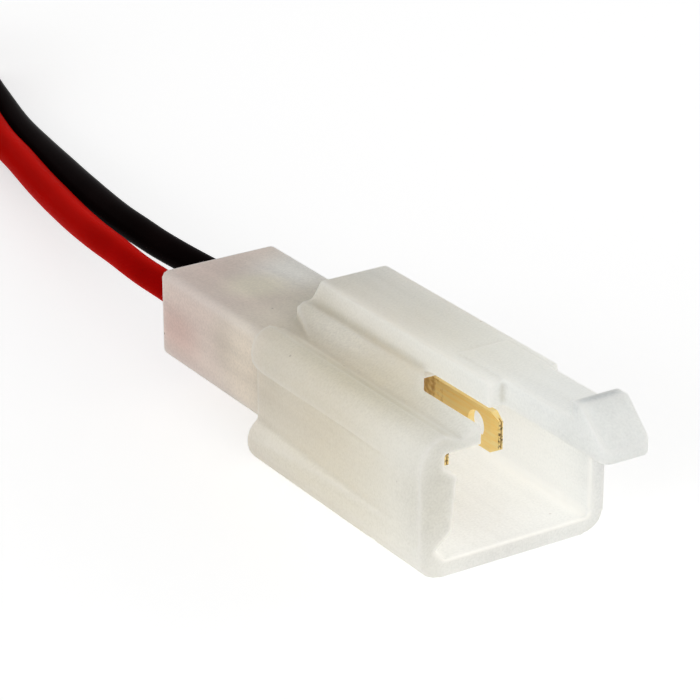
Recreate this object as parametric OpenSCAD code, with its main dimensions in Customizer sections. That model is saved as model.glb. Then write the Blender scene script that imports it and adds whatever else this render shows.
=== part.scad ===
// Two-way wire-to-wire connector half with male tabs, crimped on a pair of leads.
// Millimetres. X runs across the mouth, Y from the mouth to the leads, Z up.
// The origin is under the middle of the connector's body, on the plane it rests on.

/* [Hood] */
// Width of the hood over its two side walls
hood_w = 14; // [13:0.1:16]
// Length of the hood from the mouth to its rear face
hood_len = 20.2; // [18:0.1:24]
// Height of the hood up to its shoulders
hood_h = 9.5; // [9:0.1:11]
// Thickness of the hood floor
floor_t = 1.1; // [0.8:0.1:1.5]
// Thickness of the plain side wall
side_t = 1.1; // [0.8:0.1:1.4]
// Thickness of the shoulders over the cavity
roof_t = 1.25; // [0.9:0.05:1.6]
// Thickness of the keyed side wall above and below its rib
key_wall_t = 1.85; // [1.5:0.05:2.2]
// Depth of the cavity from the mouth
cavity_len = 15; // [14:0.1:16]

/* [Latch] */
// Middle of the latch rail, across the hood
rail_x = 1.35; // [1:0.05:1.6]
// Width of the rail at its top
rail_w = 5.2; // [4.8:0.1:5.6]
// Height of the rail above the shoulders
rail_h = 2.2; // [1.9:0.05:2.6]
// Thickness of the latch arm
arm_t = 1.8; // [1.4:0.05:1.9]
// Distance that the rail stops behind the mouth
rail_setback = 1; // [0.5:0.1:2]
// Width of the tongue that runs on past the rail
tongue_w = 3.45; // [3:0.05:4]
// Reach of the tongue past the mouth
tongue_reach = 9.3; // [8:0.1:10]
// Height of the thumb ridge above the tongue
ridge_h = 1.1; // [0.8:0.05:1.4]
// Flat length on top of the thumb ridge
ridge_flat = 1.1; // [0.6:0.1:1.6]
// Length of the ramp from the ridge down to the nose
ridge_ramp = 2.4; // [2:0.1:3]
// Height of the blunt nose
nose_h = 0.8; // [0.6:0.1:1.4]

/* [Rear block] */
// Width of the block that holds the crimped ends
block_w = 9.1; // [8.8:0.1:10]
// Height of the block
block_h = 6.2; // [5.6:0.1:6.2]
// Length of the block behind the hood
block_len = 13.1; // [12:0.1:16]
// Height of the block's underside above the hood's underside
block_lift = 2.7; // [2.4:0.1:2.9]
// Middle of the block, across the hood
block_x = -1.25; // [-1.5:0.05:-1]

/* [Terminals] */
// Spacing of the two terminals
pitch = 4.1; // [4:0.05:4.3]
// Height of the flat tab
tab_h = 2.8; // [2.6:0.1:3]
// Thickness of the flat tab
tab_t = 0.5; // [0.4:0.05:0.6]
// Distance of the tab's tip behind the mouth
tab_setback = 4.6; // [4:0.1:6]
// Diameter of the detent hole in the tab
detent_d = 1.8; // [1.2:0.1:1.9]
// Thickness of the terminal strip at the crimps
strip_t = 0.35; // [0.3:0.05:0.4]

/* [Leads] */
// Diameter over the insulation
wire_d = 2.4; // [2.2:0.1:2.5]
// Diameter of the stranded conductor
core_d = 1.2; // [1:0.1:1.4]

/* [Fits] */
// Clearance of the terminal body in its chamber
chamber_clear = 0.15; // [0.1:0.05:0.2]
// Clearance of the tab in its slot
tab_clear = 0.15; // [0.1:0.05:0.2]
// Clearance between a crimp and what it holds
crimp_clear = 0.02; // [0.01:0.01:0.05]
// Clearance of the tie around the coiled leads
tie_clear = 0.1; // [0.05:0.05:0.2]

/* [Hidden] */
$fn = 48;

// Overlap that makes cuts and joins clean
eps = 0.05;

// Body ends along Y, counted from the mouth, and the shift that centres the body
block_back = hood_len + block_len;
centre_y = (block_back - tongue_reach) / 2;

// Hood section
half_w = hood_w / 2;
shoulder_r = 2.1;
sole_r = 1.6;
key_inner_x = -half_w + key_wall_t;
plain_inner_x = half_w - side_t;
ceiling_z = hood_h - roof_t;
rib_proud = 1;
rib_draft = 0.4;
rib_top_z = 6.6;
rib_foot_z = 2.9;
rib_bevel = 0.8;
pocket_deep = 0.65;
pocket_x = key_inner_x - pocket_deep;
pocket_z = 1.9;
corner_run = 0.8;
inner_r = 0.4;

// Grooves between the rounded lobes of the side walls
groove_deep = 0.8;
groove_top_z = 7.2;
groove_len = 18;
plain_groove_len = 13;
lobe_r = 1.6;
lobe_z = 1.7;
lobe_end_r = 1.8;
lobe_corner_r = 1;

// Nick in the lower left edge, and where it lies behind the mouth
nick_y = 5.9;
nick_r = 0.45;
nick_deep = 0.28;

// Valley between the left shoulder's crest and the saddle's foot
valley_deep = 0.6;
crest_in = 1.7;

// Latch levels and the plan of the slot under the arm
rail_top_z = hood_h + rail_h;
arm_under_z = rail_top_z - arm_t;
rail_left_x = rail_x - rail_w / 2;
rail_right_x = rail_x + rail_w / 2;
slot_gap = 1.2;
slot_shallow_y = 6.3;
slot_deep_y = 9.9;
slot_deep_half_w = 1.35;
ledge_rise = 0.1;
ramp_z = arm_under_z + ledge_rise;
ledge_w = 0.6;
ramp_run_left = 2;
ramp_run_right = 1;
foot_x = rail_left_x - ledge_w - ramp_run_left;
foot_z = hood_h - valley_deep;
rail_rear_run = 1.2;
saddle_y = 17;
saddle_tail = 0.5;
tongue_rise = 0.12;
tongue_start_y = 5.5;
tongue_shift = 0.125;
tongue_x = rail_x + tongue_shift;
tongue_left_x = tongue_x - tongue_w / 2;
nose_corner_r = 0.6;
catch_len = 2.4;
catch_deep = 0.7;
catch_wall = 0.7;
catch_from_nose = 2.2;

// Rear block section
block_left_x = block_x - block_w / 2;
block_top_z = block_lift + block_h;
block_r = 0.5;
axis_z = block_lift + block_h / 2;
axes_x = [block_x - pitch / 2, block_x + pitch / 2];

// Terminal, in its own frame: the lead's axis along Y, the strip on its +X side
strip_in = wire_d / 2 + crimp_clear;
tab_x = strip_in + tab_t / 2;
barrel_r = wire_d / 2 + crimp_clear + strip_t;
core_barrel_r = core_d / 2 + crimp_clear + strip_t;
barrel_seam = 0.4;
tip_run = 0.8;
tip_rise = 0.45;
tip_taper = 0.12;
seam_w = 0.08;
seam_deep = 0.3;
detent_back = 2.4;
stop_wall = 2.5;
chamber_front_y = cavity_len + stop_wall;
strip_h = 2.2;
shoulder_h = 3.5;
shoulder_len = 1.2;
lance_back = 1.6;
lance_y = chamber_front_y + lance_back;
lance_len = 2.6;
lance_rise = 0.6;
lance_h = 1.2;
lance_t = 0.25;
core_crimp_back = 3.6;
core_crimp_y = hood_len + core_crimp_back;
core_crimp_len = 2.8;
wire_end_back = 8.3;
wire_end_y = hood_len + wire_end_back;
jacket_crimp_back = 8.8;
jacket_crimp_y = hood_len + jacket_crimp_back;
jacket_crimp_len = 2.8;
strip_end_y = jacket_crimp_y + jacket_crimp_len;
core_reach = 0.6;
core_front_y = core_crimp_y - core_reach;

// Chamber of one terminal, around the same frame
chamber_low_x = -barrel_r - chamber_clear;
chamber_high_x = strip_in + tab_t + chamber_clear;
chamber_half_h = shoulder_h / 2 + chamber_clear;
window_w = pitch - (chamber_high_x - chamber_low_x) + 2 * eps;

// Routes of the two leads up to their coil, chosen by hand, about the body's origin
red_route = [[-3.3, 16.5, 5.8], [-3.3, 19, 5.8], [-3.3, 21.5, 5.8], [-3.2, 25, 5.8], [-2.95, 29.4, 5.6],
             [-2.3, 34.2, 5.3], [-1.65, 38.3, 4.9], [-0.6, 43.2, 4.3], [0.7, 48.7, 3.7], [2.1, 54.8, 3.2],
             [3.6, 61, 2.8], [5.2, 68, 2.4], [7.6, 77, 2.7]];
black_route = [[0.8, 16.5, 5.8], [0.8, 19, 5.8], [0.8, 21.5, 5.8], [0.8, 25, 5.75], [0.9, 29, 5.5],
               [1.15, 33.9, 5.15], [1.5, 37.4, 4.9], [2.05, 41.5, 4.5], [2.9, 46.2, 4.05], [4.05, 51.8, 3.5],
               [5.3, 57.3, 2.95], [6.75, 63.6, 2.3], [8.45, 71, 1.7], [10.65, 79.4, 1.45]];
wire_sides = 8;

// Coil of the two leads, one above the other, lying on its tie
coil_x = -0.7;
coil_y = 91.5;
coil_r = 13.8;
coil_turns_across = 2;
tie_t = 0.4;
tie_w = 2.2;
tie_angle = -2;
coil_lift = tie_t + tie_clear;
coil_out_r = coil_r + wire_d / 2;
coil_in_r = coil_out_r - coil_turns_across * wire_d - tie_clear;
coil_h = 2 * wire_d + tie_clear;

// Extrudes an XZ section along Y from y0 to y1
module along(y0, y1) {
    translate([0, y1, 0]) rotate([90, 0, 0]) linear_extrude(y1 - y0) children();
}

// Extrudes a YZ outline along X from x0 to x1
module across(x0, x1) {
    translate([x0, 0, 0]) rotate([90, 0, 90]) linear_extrude(x1 - x0) children();
}

// Rectangle with a radius of its own at each corner, from the low left one round
module rounded(x0, x1, z0, z1, r) {
    polygon([[x0 + r[0], z0], [x1 - r[1], z0], [x1, z0 + r[1]], [x1, z1 - r[2]],
             [x1 - r[2], z1], [x0 + r[3], z1], [x0, z1 - r[3]], [x0, z0 + r[0]]]);
    translate([x0 + r[0], z0 + r[0]]) circle(r[0]);
    translate([x1 - r[1], z0 + r[1]]) circle(r[1]);
    translate([x1 - r[2], z1 - r[2]]) circle(r[2]);
    translate([x0 + r[3], z1 - r[3]]) circle(r[3]);
}

// What is left of a square corner outside its radius, for cutting it round
module corner_waste(r) {
    difference() {
        translate([-eps, -eps]) square(r + eps);
        translate([r, r]) circle(r);
    }
}

// Moves a body from the mouth's frame to the part's own
module placed() {
    translate([0, -centre_y, 0]) children();
}

// Section of the groove between the two lobes of a side wall, on the left
module groove_section() {
    difference() {
        translate([-half_w - half_w, lobe_z]) square([half_w + groove_deep, groove_top_z - lobe_z]);
        translate([-half_w + lobe_r, lobe_z]) circle(lobe_r);
    }
}

// Groove that is deepest at the rear and runs out towards the mouth
module side_groove(run) {
    translate([-half_w, hood_len, 0]) rotate([0, 0, -atan(groove_deep / run)])
        translate([half_w, 0, 0]) along(-hood_len, half_w) groove_section();
    translate([0, hood_len, 0]) across(-half_w - eps, -half_w + groove_deep)
        translate([0, groove_top_z]) mirror([1, 0]) corner_waste(lobe_end_r);
}

// Rounded rear corner of an upper lobe, seen from above
module lobe_corner() {
    translate([-half_w, hood_len, groove_top_z - eps]) mirror([0, 1, 0])
        linear_extrude(hood_h) corner_waste(lobe_corner_r);
}

module hood_body() {
    difference() {
        along(0, hood_len) rounded(-half_w, half_w, 0, hood_h, [sole_r, sole_r, shoulder_r, shoulder_r]);
        side_groove(groove_len);
        lobe_corner();
        mirror([1, 0, 0]) side_groove(plain_groove_len);
        mirror([1, 0, 0]) lobe_corner();
        valley();
        nick();
    }
}

// Valley along the left shoulder: it rises to the slot in front, and the saddle stands in it behind
module valley() {
    crest_x = -half_w + crest_in;
    top = hood_h + eps;
    run_out_x = foot_x + ramp_run_left * (top - foot_z) / (ramp_z - foot_z);
    along(-eps, slot_shallow_y + eps) polygon([[crest_x, top], [foot_x, foot_z], [run_out_x, top]]);
    along(slot_shallow_y, hood_len + eps)
        polygon([[crest_x, top], [foot_x, foot_z], [rail_x, foot_z], [rail_x, top]]);
}

// Small nick in the rounded lower left edge
module nick() {
    edge = sole_r * (1 - sqrt(1 / 2));
    translate([-half_w + edge, nick_y, edge]) rotate([0, -135, 0]) translate([0, 0, nick_r - nick_deep])
        sphere(nick_r);
}

// Section of the cavity, with the guide rib of the keyed wall on the left
module cavity_section() {
    polygon([[pocket_x + corner_run, floor_t], [plain_inner_x - inner_r, floor_t],
             [plain_inner_x, floor_t + inner_r], [plain_inner_x, ceiling_z], [key_inner_x, ceiling_z],
             [key_inner_x, rib_top_z + rib_bevel], [key_inner_x + rib_proud, rib_top_z],
             [key_inner_x + rib_proud - rib_draft, rib_foot_z], [pocket_x, pocket_z]]);
    translate([plain_inner_x - inner_r, floor_t + inner_r]) circle(inner_r);
}

// Plan of the opening in the roof that frees the latch arm
module slot_plan() {
    polygon([[rail_left_x - slot_gap, -eps], [rail_right_x + slot_gap, -eps],
             [rail_right_x + slot_gap, slot_shallow_y], [rail_x + slot_deep_half_w, slot_deep_y],
             [rail_x - slot_deep_half_w, slot_deep_y], [rail_left_x - slot_gap, slot_shallow_y]]);
}

// Saddle that carries the rail: a ramp up from each shoulder to a narrow ledge
module saddle() {
    intersection() {
        along(slot_shallow_y, hood_len + rail_rear_run)
            polygon([[foot_x, foot_z], [rail_left_x - ledge_w, ramp_z], [rail_right_x + ledge_w, ramp_z],
                     [rail_right_x + ledge_w + ramp_run_right, hood_h - roof_t], [foot_x, hood_h - roof_t]]);
        linear_extrude(rail_top_z)
            polygon([[foot_x, slot_shallow_y], [rail_right_x + ledge_w + ramp_run_right, slot_shallow_y],
                     [rail_right_x + ledge_w + ramp_run_right, saddle_y],
                     [rail_right_x + ledge_w, hood_len + rail_rear_run],
                     [rail_left_x - ledge_w - saddle_tail, hood_len + rail_rear_run],
                     [foot_x, saddle_y]]);
    }
}

// Rail and arm: one bar from its sloped rear end to where the walls stop
module rail() {
    across(rail_left_x, rail_right_x)
        polygon([[rail_setback, arm_under_z], [hood_len + rail_rear_run, arm_under_z],
                 [hood_len, rail_top_z], [rail_setback, rail_top_z]]);
}

// Outline of the tongue from the side, with its thumb ridge, ramp and nose
module tongue_outline() {
    top = rail_top_z + tongue_rise;
    ramp_end = -tongue_reach;
    ridge_front = ramp_end + ridge_ramp;
    polygon([[tongue_start_y, arm_under_z], [tongue_start_y, top], [ridge_front + ridge_flat, top],
             [ridge_front + ridge_flat, top + ridge_h], [ridge_front, top + ridge_h],
             [ramp_end, arm_under_z + nose_h], [ramp_end, arm_under_z]]);
}

// Pocket under the tongue that the mating half's wedge snaps into
module catch_pocket() {
    translate([tongue_left_x + catch_wall, -tongue_reach + catch_from_nose, arm_under_z - eps])
        cube([tongue_w - 2 * catch_wall, catch_len, catch_deep + eps]);
}

module tongue() {
    difference() {
        across(tongue_left_x, tongue_left_x + tongue_w) tongue_outline();
        for (side = [0, 1]) translate([tongue_x, -tongue_reach, arm_under_z - eps]) mirror([side, 0, 0])
            translate([-tongue_w / 2, 0, 0]) linear_extrude(rail_top_z) corner_waste(nose_corner_r);
        catch_pocket();
    }
}

module rear_block() {
    along(hood_len - eps, block_back)
        rounded(block_left_x, block_left_x + block_w, block_lift, block_top_z, block_r * [1, 1, 1, 1]);
}

// Chamber for a crimped terminal, the slot that its tab passes and the window that its lance locks in
module chamber(x) {
    translate([x + chamber_low_x, chamber_front_y, axis_z - chamber_half_h])
        cube([chamber_high_x - chamber_low_x, block_back - chamber_front_y + eps, 2 * chamber_half_h]);
    translate([x + strip_in - tab_clear, cavity_len - eps, axis_z - tab_h / 2 - tab_clear])
        cube([tab_t + 2 * tab_clear, stop_wall + 2 * eps, tab_h + 2 * tab_clear]);
    translate([x + chamber_high_x - eps, lance_y, axis_z - lance_h / 2 - chamber_clear])
        cube([window_w, lance_len + tab_clear, lance_h + 2 * chamber_clear]);
}

module housing() {
    color("ivory") placed() {
        difference() {
            union() {
                hood_body();
                saddle();
                rear_block();
            }
            along(-eps, cavity_len) cavity_section();
            translate([0, 0, ceiling_z - eps]) linear_extrude(rail_top_z) slot_plan();
            for (x = axes_x) chamber(x);
        }
        rail();
        tongue();
    }
}

// Outline of the tab from the side: bevelled tip, running back to the stop wall
module tab_outline() {
    half = tab_h / 2;
    polygon([[tab_setback, -half + tip_rise], [tab_setback + tip_run, -half], [chamber_front_y, -half],
             [chamber_front_y, half], [tab_setback + tip_run, half], [tab_setback, half - tip_rise]]);
}

// Open crimp barrel around the lead's axis, rolled from the strip
module barrel(y0, len, bore_r, out_r) {
    along(y0, y0 + len) difference() {
        circle(out_r);
        circle(bore_r);
        translate([-out_r - eps, -barrel_seam / 2]) square([out_r, barrel_seam]);
    }
}

// Tab folded double from thin strip, so a seam shows at its tip, then the carrier strip with its crimps
module terminal() {
    difference() {
        across(strip_in, strip_in + tab_t) tab_outline();
        translate([0, tab_setback + detent_back, 0]) rotate([0, 90, 0])
            cylinder(h = 2 * (strip_in + tab_t), d = detent_d);
        for (side = [0, 1]) translate([tab_x, tab_setback, 0]) mirror([side, 0, 0])
            linear_extrude(tab_h, center = true)
                polygon([[tab_t / 2 + eps, -eps], [tab_t / 2 - tip_taper, -eps],
                         [tab_t / 2, tip_run], [tab_t / 2 + eps, tip_run]]);
        translate([tab_x - seam_w / 2, tab_setback - eps, -tab_h / 2])
            cube([seam_w, seam_deep + eps, tab_h]);
    }
    translate([strip_in, chamber_front_y - eps, -strip_h / 2])
        cube([strip_t, strip_end_y - chamber_front_y + eps, strip_h]);
    translate([strip_in, chamber_front_y, -shoulder_h / 2]) cube([strip_t, shoulder_len, shoulder_h]);
    translate([strip_in + strip_t - eps, lance_y, -lance_h / 2]) linear_extrude(lance_h)
        polygon([[0, 0], [lance_t, 0], [lance_rise, lance_len],
                 [lance_rise - lance_t, lance_len], [0, 2 * lance_t]]);
    barrel(jacket_crimp_y, jacket_crimp_len, wire_d / 2 + crimp_clear, barrel_r);
    barrel(core_crimp_y, core_crimp_len, core_d / 2 + crimp_clear, core_barrel_r);
    translate([core_barrel_r - strip_t / 2, core_crimp_y, -core_d / 2])
        cube([strip_in - core_barrel_r + strip_t, core_crimp_len, core_d]);
}

module terminal_at(i) {
    color("goldenrod") placed() translate([axes_x[i], 0, axis_z]) terminal();
}

module left_terminal() { terminal_at(0); }
module right_terminal() { terminal_at(1); }

// Bare strands from the lead's stripped end through the conductor crimp
module conductor_at(i) {
    color("peru") placed() translate([axes_x[i], wire_end_y, axis_z]) rotate([90, 0, 0])
        cylinder(h = wire_end_y - core_front_y, d = core_d);
}

module red_conductor() { conductor_at(0); }
module black_conductor() { conductor_at(1); }

// Direction of a route at point i, and one ring of the tube there, square to it
function unit(v) = v / norm(v);
function heading(p, i) = unit(p[min(i + 1, len(p) - 1)] - p[max(i - 1, 0)]);
function ring(p, i) = let (t = heading(p, i), side = unit(cross(t, [0, 0, 1])), up = cross(side, t))
    [for (k = [0 : wire_sides - 1]) let (a = 360 * (k + 0.5) / wire_sides)
        p[i] + wire_d / 2 * (cos(a) * side + sin(a) * up)];

// Tube along a route, closed at both ends
module tube(p) {
    n = len(p);
    points = [for (i = [0 : n - 1]) each ring(p, i)];
    walls = [for (i = [0 : n - 2], k = [0 : wire_sides - 1]) let (j = (k + 1) % wire_sides)
        [i * wire_sides + k, (i + 1) * wire_sides + k, (i + 1) * wire_sides + j, i * wire_sides + j]];
    near_end = [for (k = [0 : wire_sides - 1]) k];
    far_end = [for (k = [wire_sides - 1 : -1 : 0]) (n - 1) * wire_sides + k];
    polyhedron(points, concat(walls, [near_end, far_end]));
}

module red_wire() { color("firebrick") tube(red_route); }
module black_wire() { color("black") tube(black_route); }

module lead_coil() {
    r = wire_d / 2;
    color("dimgray") translate([coil_x, coil_y, coil_lift]) rotate_extrude()
        rounded(coil_in_r, coil_out_r, 0, coil_h, [r, r, r, r]);
}

// Band around the coil, where its end lies on its start
module lead_tie() {
    inner = [coil_in_r - tie_clear, coil_out_r + tie_clear];
    color("white") translate([coil_x, coil_y, 0]) rotate([0, 0, tie_angle]) along(-tie_w / 2, tie_w / 2)
        difference() {
            translate([inner[0] - tie_t, 0])
                square([inner[1] - inner[0] + 2 * tie_t, coil_h + 2 * coil_lift]);
            translate([inner[0], tie_t]) square([inner[1] - inner[0], coil_h + 2 * tie_clear]);
        }
}

housing();
left_terminal();
right_terminal();
red_conductor();
black_conductor();
red_wire();
black_wire();
lead_coil();
lead_tie();
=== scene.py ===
"""Dresses a two-way wire connector: a moulded nylon housing, stamped brass tabs and a pair of leads."""

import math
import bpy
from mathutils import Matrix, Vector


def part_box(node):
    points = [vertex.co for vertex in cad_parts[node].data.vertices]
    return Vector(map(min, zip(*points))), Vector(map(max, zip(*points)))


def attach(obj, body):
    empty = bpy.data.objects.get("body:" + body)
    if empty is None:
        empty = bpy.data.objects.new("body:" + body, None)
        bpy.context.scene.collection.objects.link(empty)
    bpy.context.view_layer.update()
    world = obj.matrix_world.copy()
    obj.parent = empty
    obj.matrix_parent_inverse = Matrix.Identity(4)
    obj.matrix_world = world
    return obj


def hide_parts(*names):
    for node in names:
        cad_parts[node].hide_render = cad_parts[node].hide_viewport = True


bl_info = {
    "name": "Two-way wire connector",
    "version": (1, 0, 0),
    "blender": (4, 5, 0),
    "location": "View3D > Sidebar > Connector",
    "description": "Builds the looks of a tabbed wire connector half and its two leads",
    "category": "Object",
}

import bmesh
import bpy
import numpy as np
from bpy.props import FloatProperty, FloatVectorProperty, IntProperty, PointerProperty
from bpy.types import Operator, Panel, PropertyGroup
from mathutils import Matrix, Vector

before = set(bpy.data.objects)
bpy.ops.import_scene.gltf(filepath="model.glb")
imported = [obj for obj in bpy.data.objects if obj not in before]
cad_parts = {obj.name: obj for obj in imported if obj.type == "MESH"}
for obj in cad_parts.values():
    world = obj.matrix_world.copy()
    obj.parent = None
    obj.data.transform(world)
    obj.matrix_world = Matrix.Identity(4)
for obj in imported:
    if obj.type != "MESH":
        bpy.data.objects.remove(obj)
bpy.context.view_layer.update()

MM = 0.001
BODY = "root"

# Attributes of the housing's mesh that its material reads
EDGE = "edge"
CORNER = "mouth_corner"
# Box around the inside of the mouth, in millimetres
MOUTH_LOW = (-6, -12.2, 1)
MOUTH_HIGH = (6, 3.2, 8.4)
# Points of a CAD mesh that are closer than this are one point
WELD = 0.001 * MM

# Routes of the two leads up to their coil, in millimetres from the part's origin
RED_ROUTE = [
    (-3.3, 16.5, 5.8), (-3.3, 19, 5.8), (-3.3, 21.5, 5.8), (-3.2, 25, 5.8), (-2.95, 29.4, 5.6),
    (-2.3, 34.2, 5.3), (-1.65, 38.3, 4.9), (-0.6, 43.2, 4.3), (0.7, 48.7, 3.7), (2.1, 54.8, 3.2),
    (3.6, 61, 2.8), (5.2, 68, 2.4), (7.6, 77, 2.7),
]
BLACK_ROUTE = [
    (0.8, 16.5, 5.8), (0.8, 19, 5.8), (0.8, 21.5, 5.8), (0.8, 25, 5.75), (0.9, 29, 5.5),
    (1.15, 33.9, 5.15), (1.5, 37.4, 4.9), (2.05, 41.5, 4.5), (2.9, 46.2, 4.05), (4.05, 51.8, 3.5),
    (5.3, 57.3, 2.95), (6.75, 63.6, 2.3), (8.45, 71, 1.7), (10.65, 79.4, 1.45),
]
# The red lead climbs over the black one here, on its way into the coil
RED_CLIMB = [(9.15, 80.5, 3.2), (10.7, 84, 3.95), (11.9, 86.7, 4.15)]
# The leads are drawn thinner up to the first of these places along Y and full from the second, in millimetres
DRAWN_FROM_TO = (30, 50)

# Distance between the points of a lead's path, of which each second one carries a ring of insulation
PATH_STEP = 0.25 * MM
RING_EVERY = 2
# Points worked out between two points of a route
CURVE_POINTS = 24
# Where the coil starts, and the angle between its points
COIL_ENTRY = math.radians(-11.5)
COIL_ANGLE_STEP = math.radians(10)
# Sides of the round sections, the length in which the strands turn once, and the points of a crimped bundle
LEAD_SIDES = 28
STRAND_SIDES = 10
STRAND_LAY = 9 * MM
CRIMP_POINTS = 24
# Points by which the bare strands reach back into the insulation
BARE_OVERLAP = 8

# Soft boxes: name, place and side in metres, power in watts
LAMPS = (
    ("right_soft_box", (0.42, -0.05, 0.1), 0.3, 0.3),
    ("front_soft_box", (-0.15, -0.45, 0.2), 0.3, 0.25),
    ("left_soft_box", (-0.45, -0.1, 0.1), 0.35, 0.7),
)
LAMP_TARGET = (0, 0, 0.005)
# Half the floor's side in metres, and how much white is added where the floor is seen
FLOOR_HALF = 3.0
FLOOR_LIFT = 0.55
# Camera's sensor in millimetres, and the nearest and furthest it sees in metres
SENSOR_WIDTH = 36
CLIP_NEAR_FAR = (0.01, 20)

# Painted light and shade in the nylon, and the red lead and crimps that show through it: middle and reach in
# millimetres, tint, the tint's depth, and how much light comes through there, with 1 as elsewhere
NYLON_PAINTED_LIGHT_AND_SHOW_THROUGH = (
    # Red lead behind the block's wall, then the dark crimps
    ((-5.0, 19.5, 5.2), (3.5, 4.5, 2.6), "DFB0A4", 0.5, 1.0),
    ((-3.5, 13.0, 6.5), (4.5, 2.6, 3.0), "BDB099", 0.35, 1.0),
    # Painted light on the block: front of its left side, right and middle of its top
    ((-6.0, 10.5, 5.5), (2.5, 3.2, 5.0), "FFEFD8", 0.6, 0.3),
    ((2.5, 16.5, 9.2), (5.5, 5.0, 2.4), "FFFDF4", 0.95, 0.05),
    ((-1.7, 15.5, 9.0), (3.2, 3.2, 2.0), "FFF6DA", 0.8, 0.1),
    # Painted shade on the left shoulder and on the foot of the left wall
    ((-5.0, -3.0, 10.0), (3.6, 17.0, 2.0), "C0B899", 0.95, 0.3),
    ((-7.0, -1.0, 2.0), (3.0, 13.0, 3.2), "E2DCC6", 0.6, 0.8),
    # Painted light on the sloped pad beside the rail and on the rail's top
    ((-2.4, 4.0, 9.8), (1.7, 7.0, 1.3), "FFFBEC", 0.9, 0.2),
    ((2.5, 1.0, 12.2), (4.5, 13.0, 1.4), "F6FFFF", 1.0, 0.8),
    # Painted shade round the mouth: ends of the left and the right wall, and the sill
    ((-5.8, -13.0, 5.5), (3.4, 5.0, 7.0), "D6D2C2", 0.75, 0.5),
    ((6.8, -13.0, 5.0), (2.4, 4.0, 7.0), "E0E4E6", 0.75, 0.5),
    ((0.5, -12.6, 0.4), (8.0, 1.8, 1.2), "DFE0DA", 0.6, 0.5),
    # Painted shade on the thumb ridge
    ((1.6, -17.9, 13.0), (3.6, 1.4, 1.2), "B8BEBF", 0.95, 0.1),
    # Inside the mouth: painted light on the right wall and painted shade on the floor
    ((5.8, -5.0, 2.4), (2.2, 12.0, 4.4), "F6FBFD", 1.0, 1.22),
    ((0.0, -8.0, 1.0), (6.0, 7.0, 1.8), "E6E2DC", 0.6, 0.85),
)
# Painted lines in the nylon: attribute, gain, tint, and how much light comes through there, with 1 as elsewhere
NYLON_PAINTED_LINES = (
    # Painted highlight along outer edges, painted shade in inner corners, painted highlights in the mouth's
    # corners
    (EDGE, 0.9, "FFFFFC", 1.0),
    (EDGE, -1.4, "B4AF9E", 0.3),
    (CORNER, 2.0, "FFFFFF", 1.65),
)

# A Mix node for colours, and its sockets by number, because their names aren't unique
MIX = {"kind": "ShaderNodeMix", "data_type": "RGBA"}
MULTIPLY = {**MIX, "blend_type": "MULTIPLY"}
SHARE, FIRST, SECOND, MIXED = 0, 6, 7, 2


# Settings that a user would change

def linear(code):
    """sRGB hex text as linear red, green, blue and full alpha."""
    channels = np.array([int(code[i:i + 2], 16) for i in (0, 2, 4)]) / 255
    lifted = np.where(channels <= 0.04045, channels / 12.92, ((channels + 0.055) / 1.055) ** 2.4)
    return (*lifted, 1.0)


def colour_setting(name, description, code):
    """A colour that a user may change, with its default as sRGB hex text."""
    return FloatVectorProperty(
        name=name, description=description, default=linear(code), size=4, min=0, max=1, subtype="COLOR")


class HousingSettings(PropertyGroup):
    """Form and colours of the moulding."""

    voxel: FloatProperty(
        name="Edge detail", description="Grid size that softens the moulded edges",
        default=0.12 * MM, unit="LENGTH", precision=6)
    smooth_steps: IntProperty(
        name="Softening", description="How often the moulded edges are smoothed", default=3, min=0, max=30)
    edge_steps: IntProperty(
        name="Edge reach", description="How much further the grid is smoothed to find its edges",
        default=14, min=1)
    triangle_share: FloatProperty(
        name="Kept triangles", description="Share of the fine grid's triangles that is kept",
        default=0.36, min=0.05, max=1, subtype="FACTOR")
    nose_colour: colour_setting("Nose", "Nylon at the tongue's nose", "F4FAFC")
    tongue_colour: colour_setting("Tongue", "Nylon of the tongue", "F5FAF9")
    mouth_colour: colour_setting("Mouth", "Nylon round the mouth", "F4F4ED")
    hood_colour: colour_setting("Hood", "Nylon in the middle of the hood", "F1EDE0")
    rear_colour: colour_setting("Hood's rear", "Nylon at the rear of the hood", "EEE7D5")
    block_colour: colour_setting("Block", "Nylon of the rear block", "FBF0DE")
    block_end_colour: colour_setting("Block's end", "Nylon where the leads enter", "FDE8DC")
    speck_colour: colour_setting("Specks", "Specks of charred resin", "6A5A48")


class TerminalSettings(PropertyGroup):
    """Colours of the stamped terminals."""

    dark_colour: colour_setting("Brass, dark", "Darkest of the rolling lines", "FFE196")
    middle_colour: colour_setting("Brass", "Brass between the rolling lines", "FFE6A2")
    light_colour: colour_setting("Brass, light", "Lightest of the rolling lines", "FFEBB0")
    # Colour of the painted shadow towards the tab's rear, which lies in the shade of the slot
    painted_shadow_colour: colour_setting("Shadow", "Stains where the tab is held", "A8661A")
    # Colour of the painted shade along the tip's edge, for its lead-in bevel
    painted_bevel_shade_colour: colour_setting("Bevel marks", "Shade along the tip's cut edge", "4A2608")


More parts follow.
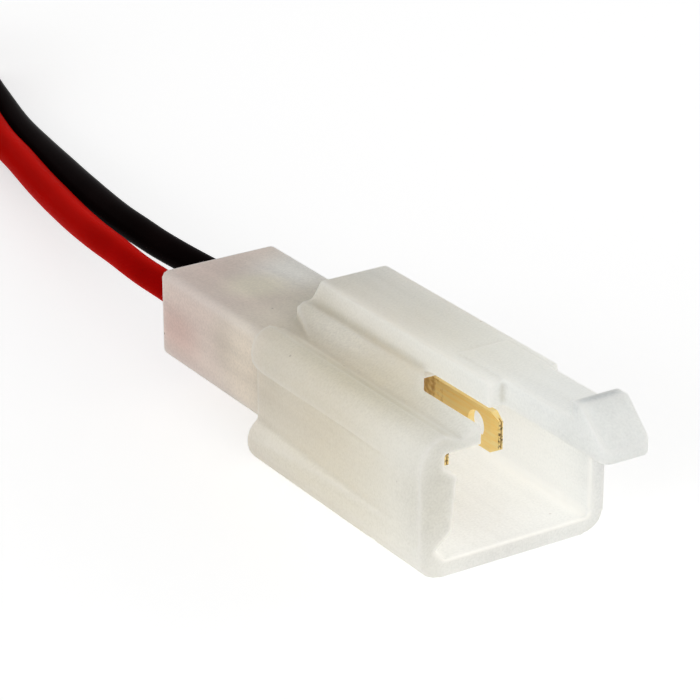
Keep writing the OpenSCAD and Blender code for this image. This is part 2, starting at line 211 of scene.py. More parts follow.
class LeadSettings(PropertyGroup):
    """Sizes and colours of the two leads and their coil."""

    diameter: FloatProperty(
        name="Diameter", description="Diameter over the insulation",
        default=2.4 * MM, unit="LENGTH", precision=5)
    drawn_share: FloatProperty(
        name="Drawn share",
        description="Share of the diameter that is left where a lead is pulled into its crimp",
        default=0.86, min=0.5, max=1, subtype="FACTOR")
    coil_radius: FloatProperty(
        name="Coil radius", description="Radius of the outer turn at the wire's middle",
        default=13.8 * MM, unit="LENGTH", precision=5)
    coil_step: FloatProperty(
        name="Turn spacing", description="Distance between turns that lie beside each other",
        default=2.45 * MM, unit="LENGTH", precision=5)
    coil_sweep: FloatProperty(
        name="Coil sweep", description="Angle that the insulated lead runs round the coil",
        default=math.radians(380), subtype="ANGLE")
    bare_length: FloatProperty(
        name="Bare end", description="Length of the stripped end", default=6 * MM, unit="LENGTH", precision=5)
    strand_diameter: FloatProperty(
        name="Strand", description="Diameter of one copper strand",
        default=0.4 * MM, unit="LENGTH", precision=5)
    red_dark: colour_setting("Red, dark", "Darker tone of the red insulation", "7E0001")
    red_light: colour_setting("Red, light", "Lighter tone of the red insulation", "8C0002")
    red_glow: colour_setting("Red glow", "Tint of the red lead's edges", "FF2218")
    black_dark: colour_setting("Black, dark", "Darker tone of the black insulation", "060202")
    black_light: colour_setting("Black, light", "Lighter tone of the black insulation", "0C0505")
    black_glow: colour_setting("Black glow", "Tint of the black lead's edges", "C0A8A8")
    copper_dark: colour_setting("Copper, dark", "Darker tone of the strands", "A9633C")
    copper_light: colour_setting("Copper, light", "Lighter tone of the strands", "D98E62")
    tie_dark: colour_setting("Tie, dark", "Darker tone of the band", "D8D8D4")
    tie_light: colour_setting("Tie, light", "Lighter tone of the band", "E4E4E0")


class StageSettings(PropertyGroup):
    """Camera, floor and lamps."""

    azimuth: FloatProperty(
        name="Azimuth", description="Camera's turn about the upright",
        default=math.radians(-32.718), subtype="ANGLE")
    elevation: FloatProperty(
        name="Elevation", description="Camera's height above the horizon",
        default=math.radians(23.612), subtype="ANGLE")
    distance: FloatProperty(
        name="Distance", description="From the camera to its target plane",
        default=201.648 * MM, unit="LENGTH")
    target: FloatVectorProperty(
        name="Target", description="Point that the camera's axis is measured from",
        default=(0, 3 * MM, 5 * MM), subtype="XYZ")
    offset: FloatVectorProperty(
        name="Offset", description="Camera's shift across and up, in its own plane",
        default=(-1.924 * MM, 3.102 * MM), size=2)
    lens: FloatProperty(name="Lens", description="Focal length", default=159.76, unit="CAMERA")
    ambient: FloatProperty(
        name="Ambient", description="Brightness of the soft light from the sides", default=1.0)
    overhead: FloatProperty(
        name="Overhead", description="Brightness of the soft light from above", default=0.2)
    floor_colour: colour_setting("Floor", "Colour of the paper under the part", "E6E6E6")


# Helpers for nodes and meshes

def grey(level):
    """A share between nothing and all, as a colour."""
    return (level, level, level, 1.0)


def add(tree, kind, values=None, stops=(), **settings):
    """Adds a node, sets its attributes, sets or links its inputs by name or number, and fills its ramp.

    A stop of the ramp is a place and a linear colour."""
    node = tree.nodes.new(kind)
    for key, value in settings.items():
        setattr(node, key, value)
    for key, value in (values or {}).items():
        if isinstance(value, bpy.types.NodeSocket):
            tree.links.new(value, node.inputs[key])
        else:
            node.inputs[key].default_value = value
    if stops:
        elements = node.color_ramp.elements
        while len(elements) < len(stops):
            elements.new(0.5)
        for element, (place, colour) in zip(elements, stops):
            element.position = place
            element.color = colour
    return node


def new_material(name):
    """An empty node material: its tree, its surface shader and its object coordinates."""
    material = bpy.data.materials.new(name)
    material.use_nodes = True
    tree = material.node_tree
    tree.nodes.clear()
    shader = add(tree, "ShaderNodeBsdfPrincipled")
    add(tree, "ShaderNodeOutputMaterial", {"Surface": shader.outputs["BSDF"]})
    coordinates = add(tree, "ShaderNodeTexCoord").outputs["Object"]
    return material, tree, shader, coordinates


def seen_directly(tree):
    """One for the camera's rays and for those that gloss or glass sends on, nought for light on the part."""
    rays = add(tree, "ShaderNodeLightPath").outputs
    seen = rays["Is Camera Ray"]
    for other in ("Is Glossy Ray", "Is Transmission Ray"):
        seen = add(tree, "ShaderNodeMath", {0: seen, 1: rays[other]}, operation="MAXIMUM").outputs[0]
    return seen


def finish_piece(name, mesh, material):
    """Links a mesh as a piece that rides on the one body."""
    piece = bpy.data.objects.new(name, mesh)
    bpy.context.scene.collection.objects.link(piece)
    mesh.materials.clear()
    mesh.materials.append(material)
    mesh.polygons.foreach_set("use_smooth", np.ones(len(mesh.polygons), bool))
    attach(piece, BODY)
    return piece


def finish_node(name, material):
    """Gives a CAD node its material."""
    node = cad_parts[name]
    node.data.materials.clear()
    node.data.materials.append(material)


def mesh_from(name, points, faces):
    """A mesh from an array of points and a list of faces."""
    mesh = bpy.data.meshes.new(name)
    mesh.from_pydata(points.tolist(), [], faces)
    mesh.update()
    return mesh


def lengths_along(path):
    """Length of a path from its start to each of its points."""
    return np.concatenate([[0], np.cumsum(np.linalg.norm(np.diff(path, axis=0), axis=1))])


def spline(points, step):
    """Centripetal Catmull-Rom curve through the points, resampled evenly about step apart.

    Between two points it is the cubic whose knots grow with the square root of the chord."""
    points = np.asarray(points, float)
    ends = np.vstack([2 * points[0] - points[1], points, 2 * points[-1] - points[-2]])
    chord = np.sqrt(np.linalg.norm(np.diff(ends, axis=0), axis=1))
    knots = np.concatenate([[0], np.cumsum(chord)])
    share = np.linspace(0, 1, CURVE_POINTS, endpoint=False)
    first = np.arange(len(points) - 1)
    t0, t1, t2, t3 = (knots[first + k][:, None, None] for k in range(4))
    p0, p1, p2, p3 = (ends[first + k][:, None, :] for k in range(4))
    t = t1 + (t2 - t1) * share[None, :, None]
    a1 = (t1 - t) / (t1 - t0) * p0 + (t - t0) / (t1 - t0) * p1
    a2 = (t2 - t) / (t2 - t1) * p1 + (t - t1) / (t2 - t1) * p2
    a3 = (t3 - t) / (t3 - t2) * p2 + (t - t2) / (t3 - t2) * p3
    b1 = (t2 - t) / (t2 - t0) * a1 + (t - t0) / (t2 - t0) * a2
    b2 = (t3 - t) / (t3 - t1) * a2 + (t - t1) / (t3 - t1) * a3
    curve = ((t2 - t) / (t2 - t1) * b1 + (t - t1) / (t2 - t1) * b2).reshape(-1, 3)
    curve = np.vstack([curve, points[-1]])
    along = lengths_along(curve)
    places = np.linspace(0, along[-1], max(2, round(along[-1] / step) + 1))
    return np.stack([np.interp(places, along, curve[:, k]) for k in range(3)], axis=1)


def frames(path):
    """Side and up vectors, square to a path that never runs straight up."""
    tangent = np.gradient(path, axis=0)
    tangent /= np.linalg.norm(tangent, axis=1)[:, None]
    side = np.cross(tangent, [0, 0, 1])
    side /= np.linalg.norm(side, axis=1)[:, None]
    return side, np.cross(side, tangent)


def tube(path, radius, sides):
    """Points and faces of a closed tube: a circle of the radius carried along the path, with flat ends.

    The radius may be one number or one for each point of the path."""
    side, up = frames(path)
    angle = np.linspace(0, 2 * math.pi, sides, endpoint=False)
    circle = np.cos(angle)[None, :, None] * side[:, None] + np.sin(angle)[None, :, None] * up[:, None]
    radius = np.broadcast_to(np.asarray(radius, float), len(path))
    points = (path[:, None] + radius[:, None, None] * circle).reshape(-1, 3)
    ring = np.arange(len(path) - 1)[:, None] * sides
    k = np.arange(sides)[None]
    after = (k + 1) % sides
    quads = np.stack([ring + k, ring + after, ring + sides + after, ring + sides + k], axis=-1).reshape(-1, 4)
    near_cap = list(range(sides))[::-1]
    far_cap = [(len(path) - 1) * sides + i for i in range(sides)]
    return points, [tuple(q) for q in quads.tolist()] + [tuple(near_cap), tuple(far_cap)]


def joined(shapes):
    """Several shapes of points and faces as one."""
    points, faces, start = [], [], 0
    for shape_points, shape_faces in shapes:
        points.append(shape_points)
        faces += [tuple(start + i for i in face) for face in shape_faces]
        start += len(shape_points)
    return np.vstack(points), faces


# Materials

def natural_nylon(settings):
    """Natural polyamide, injection moulded: milky and lit from within, with a satin skin.

    It is whiter at the nose and yellower towards the rear and its left side, what the block holds shows through
    faintly, painted light and shade tint it in many places, and a painted highlight runs along its edges."""
    material, tree, shader, coordinates = new_material("natural_nylon_moulded")
    axes = add(tree, "ShaderNodeSeparateXYZ", {"Vector": coordinates}).outputs
    # From the white nose to the yellow rear: 46 mm along the part, slanted towards its left side, with the rail
    # whiter by 8 mm of that and clouds of 4 mm that move it by up to 8 mm
    # The slant paints the left side yellower: painted warm light
    lie = add(tree, "ShaderNodeVectorMath", {0: coordinates, 1: (-0.9, 1, 0)}, operation="DOT_PRODUCT")
    rail = add(tree, "ShaderNodeMapRange", {
        "Value": axes["Z"], "From Min": 9.6 * MM, "From Max": 11.4 * MM, "To Min": 0.0, "To Max": -8 * MM})
    raised = add(tree, "ShaderNodeMath", {0: lie.outputs["Value"], 1: rail.outputs["Result"]},
                 operation="ADD")
    cloud = add(tree, "ShaderNodeTexNoise", {"Vector": coordinates, "Scale": 1 / (4 * MM), "Detail": 3.0})
    drift = add(tree, "ShaderNodeMath", {0: cloud.outputs["Fac"], 1: 8 * MM, 2: raised.outputs[0]},
                operation="MULTIPLY_ADD")
    place = add(tree, "ShaderNodeMapRange",
                {"Value": drift.outputs[0], "From Min": -18 * MM, "From Max": 28 * MM})
    colour = add(tree, "ShaderNodeValToRGB", {"Fac": place.outputs["Result"]}, stops=(
        (0.0, settings.nose_colour), (0.22, settings.tongue_colour), (0.39, settings.mouth_colour),
        (0.57, settings.hood_colour), (0.72, settings.rear_colour), (0.78, settings.block_colour),
        (0.96, settings.block_end_colour))).outputs["Color"]
    clear = grey(1.0)
    # Painted light and shade, and what shows through, as soft balls of tint in the colour and in the light that
    # comes through
    for middle, reach, tint, depth, kept in NYLON_PAINTED_LIGHT_AND_SHOW_THROUGH:
        near = add(tree, "ShaderNodeMapping", {
            "Vector": coordinates, "Location": tuple(-m / r for m, r in zip(middle, reach)),
            "Scale": tuple(1 / (r * MM) for r in reach)})
        away = add(tree, "ShaderNodeVectorMath", {0: near.outputs["Vector"]}, operation="LENGTH")
        share = add(tree, "ShaderNodeMapRange", {
            "Value": away.outputs["Value"], "From Min": 0.2, "From Max": 1.0, "To Min": depth, "To Max": 0.0},
            interpolation_type="SMOOTHSTEP").outputs["Result"]
        colour = add(tree, **MIX, values={SHARE: share, FIRST: colour, SECOND: linear(tint)}).outputs[MIXED]
        clear = add(tree, **MIX, values={SHARE: share, FIRST: clear, SECOND: grey(kept)}).outputs[MIXED]
    # Flow lines of the melt, 1.2 mm apart and 14 mm long, and a fine mottle of 0.16 mm
    flow = add(tree, "ShaderNodeMapping",
               {"Vector": coordinates, "Scale": (1 / (1.2 * MM), 1 / (14 * MM), 1 / (1.2 * MM))})
    streak = add(tree, "ShaderNodeTexNoise", {"Vector": flow.outputs["Vector"], "Scale": 1.0, "Detail": 2.0})
    mottle = add(tree, "ShaderNodeTexNoise",
                 {"Vector": coordinates, "Scale": 1 / (0.16 * MM), "Detail": 2.0}).outputs["Fac"]
    both = add(tree, "ShaderNodeMath", {0: streak.outputs["Fac"], 1: mottle}, operation="ADD")
    grain = add(tree, "ShaderNodeMath", {0: both.outputs[0], 1: 0.5}, operation="MULTIPLY")
    shade = add(tree, "ShaderNodeValToRGB", {"Fac": grain.outputs[0]},
                stops=((0.35, linear("E4E4E4")), (0.65, linear("FFFFFF")))).outputs["Color"]
    colour = add(tree, **MULTIPLY, values={SHARE: 1.0, FIRST: colour, SECOND: shade}).outputs[MIXED]
    cloudy = add(tree, "ShaderNodeValToRGB", {"Fac": mottle},
                 stops=((0.35, grey(0.82)), (0.65, grey(1.0)))).outputs["Color"]
    clear = add(tree, **MULTIPLY, values={SHARE: 1.0, FIRST: clear, SECOND: cloudy}).outputs[MIXED]
    # Painted highlights along outer edges and in the mouth's corners, painted shade in inner corners
    for name, gain, tint, kept in NYLON_PAINTED_LINES:
        height = add(tree, "ShaderNodeAttribute", attribute_name=name).outputs["Fac"]
        painted_line = add(tree, "ShaderNodeMath", {0: height, 1: gain}, operation="MULTIPLY",
                  use_clamp=True).outputs[0]
        colour = add(tree, **MIX, values={SHARE: painted_line, FIRST: colour, SECOND: linear(tint)}).outputs[MIXED]
        clear = add(tree, **MIX, values={SHARE: painted_line, FIRST: clear, SECOND: grey(kept)}).outputs[MIXED]
    # Specks of charred resin, about 0.2 mm across, a few to a side
    dust = add(tree, "ShaderNodeTexVoronoi", {"Vector": coordinates, "Scale": 1 / (2.5 * MM)})
    speck = add(tree, "ShaderNodeMapRange", {
        "Value": dust.outputs["Distance"], "From Min": 0.03, "From Max": 0.045, "To Min": 0.75, "To Max": 0.0})
    colour = add(tree, **MIX, values={
        SHARE: speck.outputs["Result"], FIRST: colour, SECOND: settings.speck_colour}).outputs[MIXED]
    tree.links.new(colour, shader.inputs["Base Color"])
    shader.inputs["Roughness"].default_value = 0.4
    shader.inputs["IOR"].default_value = 1.53
    # The block is packed with metal, so its light doesn't reach as deep
    depth = add(tree, "ShaderNodeMapRange", {
        "Value": axes["Y"], "From Min": 6 * MM, "From Max": 10 * MM, "To Min": 0.5, "To Max": 0.12})
    tree.links.new(depth.outputs["Result"], shader.inputs["Subsurface Weight"])
    shader.inputs["Subsurface Radius"].default_value = (1.0, 0.98, 0.93)
    shader.inputs["Subsurface Scale"].default_value = 12 * MM
    bump = add(tree, "ShaderNodeBump", {"Height": mottle, "Strength": 0.2, "Distance": 0.03 * MM})
    tree.links.new(bump.outputs["Normal"], shader.inputs["Normal"])
    # The hood's thin walls let most of the light through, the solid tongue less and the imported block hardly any
    through = add(tree, "ShaderNodeBsdfTranslucent", {"Color": linear("FFFEFB")})
    along = add(tree, "ShaderNodeMapRange", {"Value": axes["Y"], "From Min": -22 * MM, "From Max": 12 * MM})
    share = add(tree, "ShaderNodeValToRGB", {"Fac": along.outputs["Result"]}, stops=(
        (0.26, grey(0.62)), (0.32, grey(0.68)), (0.82, grey(0.68)), (0.94, grey(0.24)))).outputs["Color"]
    share = add(tree, **MULTIPLY, values={SHARE: 1.0, FIRST: share, SECOND: clear}).outputs[MIXED]
    mixed = add(tree, "ShaderNodeMixShader",
                {0: share, 1: shader.outputs["BSDF"], 2: through.outputs["BSDF"]})
    tree.links.new(mixed.outputs["Shader"], tree.nodes["Material Output"].inputs["Surface"])
    return material


def stamped_brass(settings):
    """Rolled brass strip, stamped: a warm satin skin with rolling lines, painted brown shadow towards its rear
    and painted shade along its tip.
    """
    material, tree, shader, coordinates = new_material("stamped_brass")
    # Rolling lines along the strip, 0.2 mm apart and 3 mm long
    roll = add(tree, "ShaderNodeMapping",
               {"Vector": coordinates, "Scale": (1 / (0.2 * MM), 1 / (3 * MM), 1 / (0.2 * MM))})
    line = add(tree, "ShaderNodeTexNoise", {"Vector": roll.outputs["Vector"], "Scale": 1.0, "Detail": 2.0})
    colour = add(tree, "ShaderNodeValToRGB", {"Fac": line.outputs["Fac"]}, stops=(
        (0.3, settings.dark_colour), (0.5, settings.middle_colour),
        (0.7, settings.light_colour))).outputs["Color"]
    # Painted shadow in blots of 0.35 mm, which grows denser between 2 mm in front of the origin and 0.5 mm behind
    # it, where the tab lies in the shade of the slot
    shadow_blots = add(tree, "ShaderNodeTexNoise", {"Vector": coordinates, "Scale": 1 / (0.35 * MM), "Detail": 4.0})
    length = add(tree, "ShaderNodeSeparateXYZ", {"Vector": coordinates}).outputs["Y"]
    held = add(tree, "ShaderNodeMapRange", {
        "Value": length, "From Min": -2 * MM, "From Max": 0.5 * MM, "To Min": -0.3, "To Max": 0.12})
    shadow_amount = add(tree, "ShaderNodeMath", {0: shadow_blots.outputs["Fac"], 1: held.outputs["Result"]},
                  operation="ADD")
    painted_shadow = add(tree, "ShaderNodeValToRGB", {"Fac": shadow_amount.outputs[0]},
                  stops=((0.38, grey(0.0)), (0.7, grey(0.6)))).outputs["Color"]
    colour = add(tree, **MIX, values={
        SHARE: painted_shadow, FIRST: colour, SECOND: settings.painted_shadow_colour}).outputs[MIXED]
    # Painted shade, speckled at 0.2 mm, along the tip's edge, which ends 7.6 mm in front of the origin: it stands
    # in for the tip's lead-in bevel, which the mesh lacks
    tip = add(tree, "ShaderNodeMapRange", {"Value": length, "From Min": -7.6 * MM, "From Max": -7.1 * MM})
    lip = add(tree, "ShaderNodeValToRGB", {"Fac": tip.outputs["Result"]}, stops=(
        (0.05, grey(0.2)), (0.08, grey(0.95)), (0.5, grey(0.95)), (0.7, grey(0.0)))).outputs["Color"]
    bevel_noise = add(tree, "ShaderNodeTexNoise", {"Vector": coordinates, "Scale": 1 / (0.2 * MM)})
    speckle = add(tree, "ShaderNodeValToRGB", {"Fac": bevel_noise.outputs["Fac"]},
                stops=((0.48, grey(0.12)), (0.6, grey(1.0)))).outputs["Color"]
    painted_bevel_shade = add(tree, **MULTIPLY, values={SHARE: 1.0, FIRST: lip, SECOND: speckle}).outputs[MIXED]
    colour = add(tree, **MIX, values={
        SHARE: painted_bevel_shade, FIRST: colour, SECOND: settings.painted_bevel_shade_colour}).outputs[MIXED]
    tree.links.new(colour, shader.inputs["Base Color"])
    shader.inputs["Metallic"].default_value = 1.0
    shader.inputs["Roughness"].default_value = 0.5
    return material


def copper_strand(settings):
    """Drawn copper strand, bare: bright orange with a soft gleam and tarnish in spots of 0.8 mm."""
    material, tree, shader, coordinates = new_material("drawn_copper_strand")
    tone = add(tree, "ShaderNodeTexNoise", {"Vector": coordinates, "Scale": 1 / (0.8 * MM)})
    colour = add(tree, "ShaderNodeValToRGB", {"Fac": tone.outputs["Fac"]},
                 stops=((0.35, settings.copper_dark), (0.7, settings.copper_light)))
    tree.links.new(colour.outputs["Color"], shader.inputs["Base Color"])
    shader.inputs["Metallic"].default_value = 1.0
    shader.inputs["Roughness"].default_value = 0.32
    return material


def soft_vinyl(name, dark, light, glow, bloom, gloss):
    """Extruded vinyl insulation: an even colour under a slightly wavy skin.

    Its edges glow in a tint of their own, by the share called bloom, and gloss is the level of its
    reflections."""
    material, tree, shader, coordinates = new_material(name)
    # Clouds of 5 mm from the dark tone to the light one
    cloud = add(tree, "ShaderNodeTexNoise", {"Vector": coordinates, "Scale": 1 / (5 * MM), "Detail": 2.0})
    colour = add(tree, "ShaderNodeValToRGB", {"Fac": cloud.outputs["Fac"]},
                 stops=((0.35, dark), (0.65, light)))
    tree.links.new(colour.outputs["Color"], shader.inputs["Base Color"])
    shader.inputs["Roughness"].default_value = 0.22
    shader.inputs["Specular IOR Level"].default_value = gloss
    shader.inputs["Specular Tint"].default_value = glow
    shader.inputs["Sheen Weight"].default_value = bloom
    shader.inputs["Sheen Roughness"].default_value = 0.5
    shader.inputs["Sheen Tint"].default_value = glow
    # Waves of the skin, 0.6 mm long
    skin = add(tree, "ShaderNodeTexNoise", {"Vector": coordinates, "Scale": 1 / (0.6 * MM), "Detail": 2.0})
    bump = add(tree, "ShaderNodeBump",
               {"Height": skin.outputs["Fac"], "Strength": 0.1, "Distance": 0.03 * MM})
    tree.links.new(bump.outputs["Normal"], shader.inputs["Normal"])
    return material


def white_paper(settings):
    """Seamless white paper: it scatters light, and the camera sees it as white with a faint shadow."""
    material, tree, shader, _ = new_material("seamless_white_paper")
    lift = add(tree, "ShaderNodeMath", {0: seen_directly(tree), 1: FLOOR_LIFT}, operation="MULTIPLY")
    shader.inputs["Base Color"].default_value = settings.floor_colour
    shader.inputs["Roughness"].default_value = 1.0
    shader.inputs["Specular IOR Level"].default_value = 0.0
    shader.inputs["Emission Color"].default_value = linear("FFFFFF")
    tree.links.new(lift.outputs[0], shader.inputs["Emission Strength"])
    return material


# Stage

def place_camera(settings):
    """Camera on a sphere about its target, shifted in its own plane."""
    a, e = settings.azimuth, settings.elevation
    back = np.array([math.sin(a) * math.cos(e), -math.cos(a) * math.cos(e), math.sin(e)])
    right = np.array([math.cos(a), math.sin(a), 0])
    up = np.cross(back, right)
    place = (np.array(settings.target) + back * settings.distance
             + right * settings.offset[0] + up * settings.offset[1])
    data = bpy.data.cameras.new("photo_camera")
    data.lens = settings.lens
    data.sensor_width = SENSOR_WIDTH
    data.clip_start, data.clip_end = CLIP_NEAR_FAR
    camera = bpy.data.objects.new("photo_camera", data)
    camera.matrix_world = Matrix(
        np.vstack([np.column_stack([right, up, back, place]), (0, 0, 0, 1)]).tolist())
    bpy.context.scene.collection.objects.link(camera)
    bpy.context.scene.camera = camera


def add_lamp(name, place, size, power):
    """A square soft box that faces the part."""
    data = bpy.data.lights.new(name, "AREA")
    data.size = size
    data.energy = power
    lamp = bpy.data.objects.new(name, data)
    lamp.location = place
    lamp.rotation_euler = (Vector(LAMP_TARGET) - Vector(place)).to_track_quat("-Z", "Y").to_euler()
    bpy.context.scene.collection.objects.link(lamp)


def add_sky(settings):
    """White surroundings for the camera, with light that is strong from the sides and weak from above."""
    world = bpy.data.worlds.new("studio")
    bpy.context.scene.world = world
    world.use_nodes = True
    tree = world.node_tree
    tree.nodes.clear()
    way = add(tree, "ShaderNodeSeparateXYZ", {"Vector": add(tree, "ShaderNodeTexCoord").outputs["Generated"]})
    tent = add(tree, "ShaderNodeMapRange", {
        "Value": way.outputs["Z"], "To Min": settings.ambient, "To Max": settings.overhead})
    level = add(tree, "ShaderNodeMapRange",
                {"Value": seen_directly(tree), "To Min": tent.outputs["Result"], "To Max": 1.0})
    sky = add(tree, "ShaderNodeBackground", {"Color": linear("FFFFFF"), "Strength": level.outputs[0]})
    add(tree, "ShaderNodeOutputWorld", {"Surface": sky.outputs[0]})


class CONNECTOR_OT_stage(Operator):
    """Adds the camera, the white floor and the soft light"""

    bl_idname = "connector.stage"
    bl_label = "Stage"

    def execute(self, context):
        settings = context.scene.connector_stage
        context.scene.view_settings.view_transform = "Standard"
        place_camera(settings)
        corners = FLOOR_HALF * np.array([(-1, -1, 0), (1, -1, 0), (1, 1, 0), (-1, 1, 0)])
        floor = bpy.data.objects.new("floor", mesh_from("floor", corners, [(0, 1, 2, 3)]))
        floor.data.materials.append(white_paper(settings))
        context.scene.collection.objects.link(floor)
        add_sky(settings)
        for lamp in LAMPS:
            add_lamp(*lamp)
        return {"FINISHED"}


# Leads

def coil_path(settings, red):
    """Turns of the coil: a circle whose radius shrinks by one turn spacing in the first turn, then stays.

    The black lead lies below and the red one on it."""
    coil_low, coil_high = (np.array(corner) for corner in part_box("lead_coil"))
    centre = (coil_low + coil_high) / 2
    bare_sweep = settings.bare_length / (settings.coil_radius - settings.coil_step)
    angle = np.arange(0, settings.coil_sweep + bare_sweep, COIL_ANGLE_STEP)
    radius = settings.coil_radius - settings.coil_step * np.clip(angle / (2 * math.pi), 0, 1)
    height = coil_low[2] + settings.diameter / 2 + (settings.coil_step if red else 0)
    return np.stack([centre[0] + radius * np.cos(COIL_ENTRY + angle),
                     centre[1] + radius * np.sin(COIL_ENTRY + angle), np.full(len(angle), height)], axis=1)


def strands(path, strand):
    """Seven twisted strands: one straight, six carried round it on a helix, side by side."""
    side, up = frames(path)
    turn = lengths_along(path) / STRAND_LAY * 2 * math.pi
    shapes = [tube(path, strand / 2, STRAND_SIDES)]
    for start in np.arange(6) * math.pi / 3:
        swing = np.cos(turn + start)[:, None] * side + np.sin(turn + start)[:, None] * up
        shapes.append(tube(path + strand * swing, strand / 2, STRAND_SIDES))
    return joined(shapes)


class CONNECTOR_OT_leads(Operator):
    """Adds the two insulated leads, their stripped ends and the strands in the crimps"""

    bl_idname = "connector.leads"
    bl_label = "Leads"

    def execute(self, context):
        settings = context.scene.connector_leads
        copper = copper_strand(settings)
        red = soft_vinyl("red_vinyl_insulation", settings.red_dark, settings.red_light, settings.red_glow,
                         bloom=1.0, gloss=0.0005)
        black = soft_vinyl("black_vinyl_insulation", settings.black_dark, settings.black_light,
                           settings.black_glow, bloom=0.02, gloss=0.0005)
        self.lead(settings, "red", RED_ROUTE, RED_CLIMB, red, copper, ("red_wire", "lead_coil"))
        self.lead(settings, "black", BLACK_ROUTE, [], black, copper, ("black_wire",))
        return {"FINISHED"}

    def lead(self, settings, name, route, climb, vinyl, copper, stands_for):
        """One lead from its crimp through the coil to its bare end."""
        points = np.vstack([np.array(route + climb) * MM, coil_path(settings, name == "red")])
        whole = spline(points, PATH_STEP)
        bare_from = len(whole) - round(settings.bare_length / PATH_STEP)
        path = whole[:bare_from]
        line = path[::RING_EVERY]
        drawn = np.interp(line[:, 1], np.array(DRAWN_FROM_TO) * MM, (settings.drawn_share, 1))
        skin = mesh_from(f"{name}_lead", *tube(line, drawn * settings.diameter / 2, LEAD_SIDES))
        lead = finish_piece(f"{name}_lead", skin, vinyl)
        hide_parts(*stands_for)
        bare = whole[bare_from - BARE_OVERLAP:]
        end = mesh_from(f"{name}_bare_end", *strands(bare, settings.strand_diameter))
        bare_end = finish_piece(f"{name}_bare_end", end, copper)
        low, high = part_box(f"{name}_conductor")
        middle = (np.array(low) + np.array(high)) / 2
        crimped = np.linspace((middle[0], low[1], middle[2]), (middle[0], high[1], middle[2]), CRIMP_POINTS)
        bundle = mesh_from(f"{name}_strands", *strands(crimped, settings.strand_diameter))
        core = finish_piece(f"{name}_strands", bundle, copper)
        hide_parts(f"{name}_conductor")


class CONNECTOR_OT_tie(Operator):
    """Gives the coil's band its finish"""

    bl_idname = "connector.tie"
    bl_label = "Tie"

    def execute(self, context):
        settings = context.scene.connector_leads
        band = soft_vinyl("tie_band", settings.tie_dark, settings.tie_light, linear("FFFFFF"),
                          bloom=0.0, gloss=0.1)
        finish_node("lead_tie", band)
        return {"FINISHED"}


# Housing and terminals

def evaluated(mesh, kind, **settings):
    """The mesh after one modifier of the kind."""
    draft = bpy.data.objects.new("draft", mesh)
    bpy.context.scene.collection.objects.link(draft)
    modifier = draft.modifiers.new("step", kind)
    for key, value in settings.items():
        setattr(modifier, key, value)
    graph = bpy.context.evaluated_depsgraph_get()
    finished = bpy.data.meshes.new_from_object(draft.evaluated_get(graph))
    bpy.data.objects.remove(draft)
    return finished


def relaxed(points, edges, steps):
    """Points moved half way to the mean of their neighbours, step after step."""
    ends = np.concatenate([edges, edges[:, ::-1]])
    count = np.bincount(ends[:, 0], minlength=len(points))[:, None]
    for _ in range(steps):
        total = np.stack(
            [np.bincount(ends[:, 0], points[ends[:, 1], k], len(points)) for k in range(3)], axis=1)
        points = (points + total / count) / 2
    return points


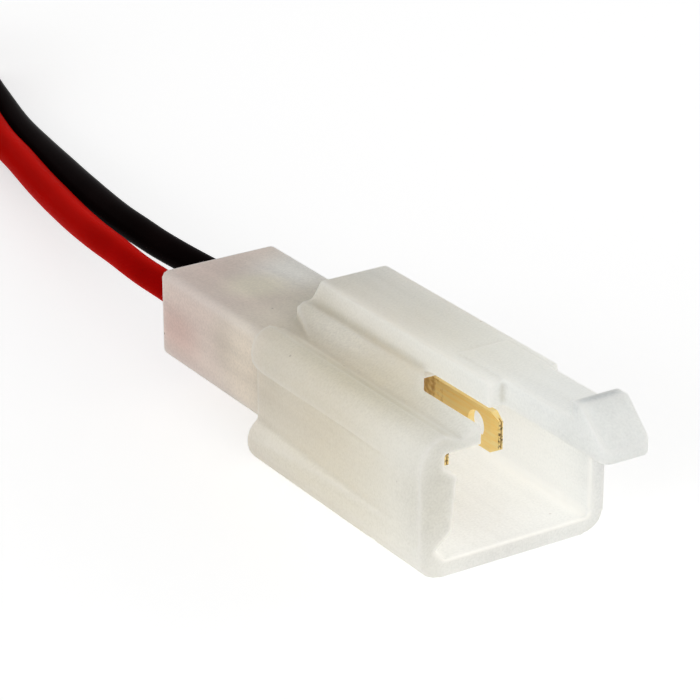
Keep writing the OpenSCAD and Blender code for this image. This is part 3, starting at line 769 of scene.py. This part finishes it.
def moulded_copy(node_name, settings):
    """The node's solid as a fine even grid with softened edges, thinned where it is flat.

    A point's edge value is its height over the same grid smoothed much further, in parts of the grid size:
    above zero on an outer edge, below it in an inner corner, zero on a face. Inside the mouth its size goes
    to an attribute of its own."""
    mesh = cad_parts[node_name].data.copy()
    merged = bmesh.new()
    merged.from_mesh(mesh)
    bmesh.ops.remove_doubles(merged, verts=merged.verts, dist=WELD)
    merged.to_mesh(mesh)
    merged.free()
    grid = evaluated(mesh, "REMESH", mode="VOXEL", voxel_size=settings.voxel)
    points = np.empty(len(grid.vertices) * 3)
    grid.vertices.foreach_get("co", points)
    edges = np.empty(len(grid.edges) * 2, int)
    grid.edges.foreach_get("vertices", edges)
    edges = edges.reshape(-1, 2)
    soft = relaxed(points.reshape(-1, 3), edges, settings.smooth_steps)
    grid.vertices.foreach_set("co", soft.ravel())
    grid.update()
    normals = np.empty(len(soft) * 3)
    grid.vertex_normals.foreach_get("vector", normals)
    rise = soft - relaxed(soft, edges, settings.edge_steps)
    height = (rise * normals.reshape(-1, 3)).sum(axis=1) / settings.voxel
    in_mouth = ((soft > np.array(MOUTH_LOW) * MM) & (soft < np.array(MOUTH_HIGH) * MM)).all(axis=1)
    for name, values in ((EDGE, np.where(in_mouth, 0, height)),
                         (CORNER, np.where(in_mouth, np.abs(height), 0))):
        attribute = grid.attributes.new(name, "FLOAT", "POINT")
        attribute.data.foreach_set("value", values.astype(np.float32))
    return evaluated(grid, "DECIMATE", ratio=settings.triangle_share)


class CONNECTOR_OT_housing(Operator):
    """Adds the moulded housing with soft edges"""

    bl_idname = "connector.housing"
    bl_label = "Housing"

    def execute(self, context):
        settings = context.scene.connector_housing
        mesh = moulded_copy("housing", settings)
        housing = finish_piece("moulded_housing", mesh, natural_nylon(settings))
        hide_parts("housing")
        return {"FINISHED"}


class CONNECTOR_OT_terminals(Operator):
    """Gives the two stamped terminals their finish"""

    bl_idname = "connector.terminals"
    bl_label = "Terminals"

    def execute(self, context):
        brass = stamped_brass(context.scene.connector_terminals)
        for name in ("left_terminal", "right_terminal"):
            finish_node(name, brass)
        return {"FINISHED"}


class CONNECTOR_PT_panel(Panel):
    """Lists the connector's pieces"""

    bl_idname = "CONNECTOR_PT_panel"
    bl_label = "Wire connector"
    bl_space_type = "VIEW_3D"
    bl_region_type = "UI"
    bl_category = "Connector"

    def draw(self, context):
        for operator in OPERATORS:
            self.layout.operator(operator.bl_idname)


OPERATORS = (
    CONNECTOR_OT_stage, CONNECTOR_OT_leads, CONNECTOR_OT_tie, CONNECTOR_OT_housing, CONNECTOR_OT_terminals)
SETTINGS = {
    "connector_housing": HousingSettings,
    "connector_terminals": TerminalSettings,
    "connector_leads": LeadSettings,
    "connector_stage": StageSettings,
}
CLASSES = (*SETTINGS.values(), *OPERATORS, CONNECTOR_PT_panel)


def register():
    """Adds the classes and the scene's settings."""
    for cls in CLASSES:
        bpy.utils.register_class(cls)
    for name, group in SETTINGS.items():
        setattr(bpy.types.Scene, name, PointerProperty(type=group))


def unregister():
    """Takes the scene's settings and the classes away again."""
    for name in SETTINGS:
        delattr(bpy.types.Scene, name)
    for cls in reversed(CLASSES):
        bpy.utils.unregister_class(cls)


def main():
    """Builds the whole scene."""
    register()
    bpy.ops.connector.stage()
    bpy.ops.connector.leads()
    bpy.ops.connector.tie()
    bpy.ops.connector.housing()
    bpy.ops.connector.terminals()


if __name__ == "__main__":
    main()
